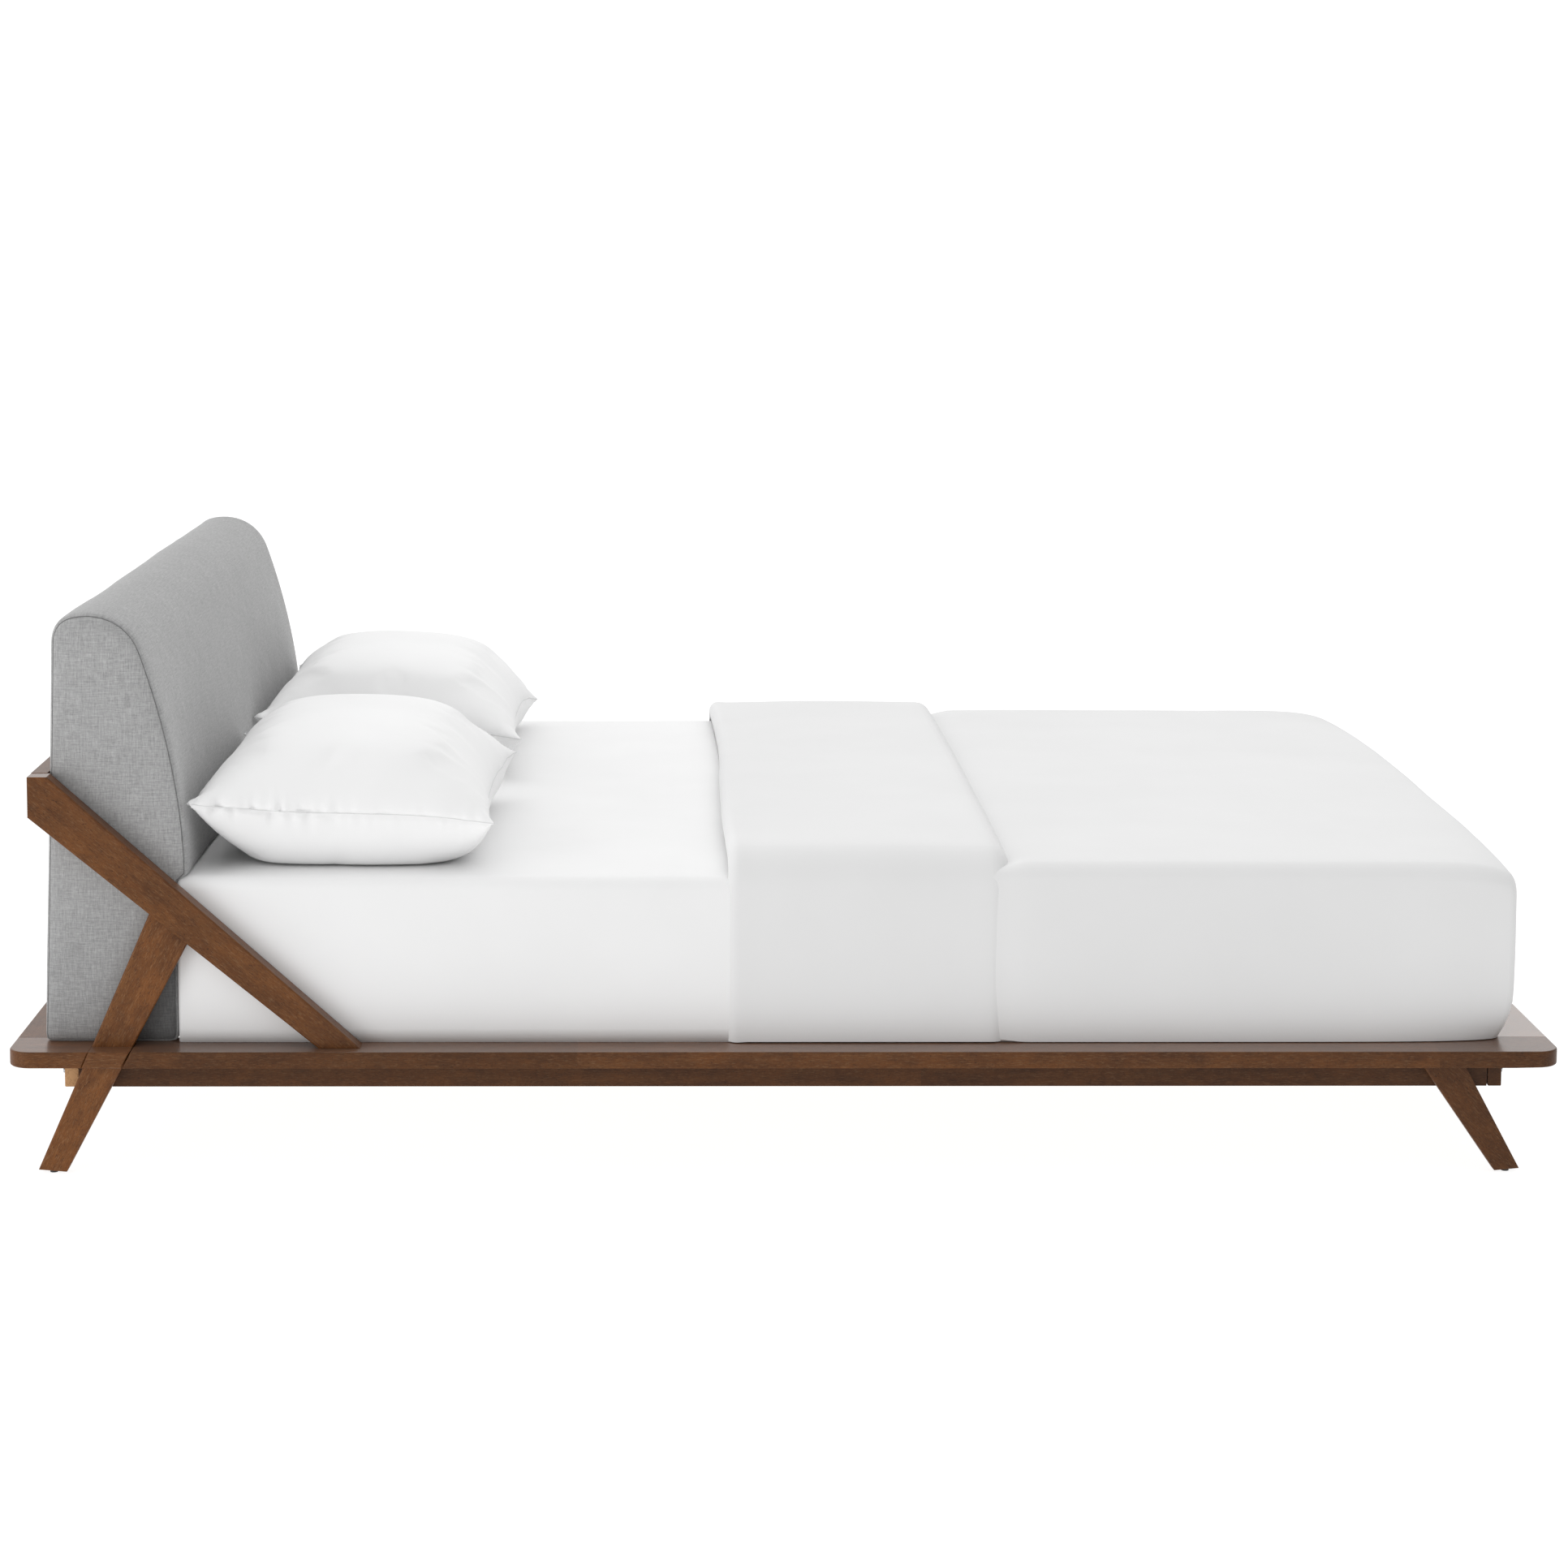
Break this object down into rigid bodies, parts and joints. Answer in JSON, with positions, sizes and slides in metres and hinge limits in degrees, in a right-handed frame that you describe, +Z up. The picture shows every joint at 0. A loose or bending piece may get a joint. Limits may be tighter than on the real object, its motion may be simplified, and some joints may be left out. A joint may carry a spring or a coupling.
{
  "type": "platform bed",
  "caption": "Low platform bed with splayed legs, diagonal side braces, a padded headboard, and a made-up mattress with duvet and pillows.",
  "frame": {"origin": "on the floor, under the middle of the platform", "axes": "+X from the headboard to the foot, +Y to the left side of the bed as a person lying on it has it, +Z up"},
  "size_m": [2.339, 1.64, 0.8475],
  "materials": {
    "walnut_stained_wood": "satin",
    "bare_wood": "matte",
    "plywood": "matte",
    "grey_linen": "matte",
    "foam": "matte",
    "mattress_ticking": "matte",
    "white_sheet": "matte",
    "white_duvet": "matte",
    "white_pillowcase": "matte",
    "zinc_steel": "satin",
    "brass_insert": "satin",
    "black_plastic": "satin"
  },
  "bodies": {
    "bed": {"side_board_right": "walnut_stained_wood", "side_board_left": "walnut_stained_wood", "head_corner_board_right": "walnut_stained_wood", "head_corner_board_left": "walnut_stained_wood", "leg_filler_right": "walnut_stained_wood", "leg_filler_left": "walnut_stained_wood", "head_end_board": "walnut_stained_wood", "foot_end_board": "walnut_stained_wood", "side_rail_right": "walnut_stained_wood", "side_rail_left": "walnut_stained_wood", "head_cross_rail": "walnut_stained_wood", "foot_cross_rail": "walnut_stained_wood", "center_rail": "bare_wood", "center_rail_hangers": "zinc_steel", "slat_cleat_right": "bare_wood", "slat_cleat_left": "bare_wood", "slat_01": "bare_wood", "slat_02": "bare_wood", "slat_03": "bare_wood", "slat_04": "bare_wood", "slat_05": "bare_wood", "slat_06": "bare_wood", "slat_07": "bare_wood", "slat_08": "bare_wood", "slat_09": "bare_wood", "slat_10": "bare_wood", "slat_11": "bare_wood", "slat_12": "bare_wood", "head_leg_right": "walnut_stained_wood", "head_leg_left": "walnut_stained_wood", "foot_leg_right": "walnut_stained_wood", "foot_leg_left": "walnut_stained_wood", "brace_right": "walnut_stained_wood", "brace_left": "walnut_stained_wood", "back_rail": "walnut_stained_wood", "leg_glides": "black_plastic", "center_leg_head": "bare_wood", "center_leg_foot": "bare_wood", "headboard_back_panel": "plywood", "headboard_ribs": "plywood", "headboard_top_plate": "plywood", "headboard_mid_rail": "plywood", "headboard_bottom_plate": "plywood", "headboard_foam": "foam", "headboard_wrap": "grey_linen", "headboard_end_right": "grey_linen", "headboard_end_left": "grey_linen", "mattress": "mattress_ticking", "fitted_sheet": "white_sheet", "duvet": "white_duvet", "leg_bolts": "zinc_steel", "leg_inserts": "brass_insert", "frame_bolts": "zinc_steel", "barrel_nuts": "zinc_steel", "dowels": "bare_wood", "slat_screws": "zinc_steel"},
    "pillow_right": {"pillow_right": "white_pillowcase"},
    "pillow_left": {"pillow_left": "white_pillowcase"},
    "leveler_head": {"leveler_head": "black_plastic"},
    "leveler_foot": {"leveler_foot": "black_plastic"}
  },
  "joints": [
    {"name": "pillow_right_lift", "type": "slide", "parent": "bed", "child": "pillow_right", "axis": [0, 0, 1], "range_m": [0, 0.25]},
    {"name": "pillow_left_lift", "type": "slide", "parent": "bed", "child": "pillow_left", "axis": [0, 0, 1], "range_m": [0, 0.25]},
    {"name": "leveler_head_screw", "type": "slide", "parent": "bed", "child": "leveler_head", "axis": [0, 0, 1], "range_m": [0, 0.008]},
    {"name": "leveler_foot_screw", "type": "slide", "parent": "bed", "child": "leveler_foot", "axis": [0, 0, 1], "range_m": [0, 0.008]}
  ]
}
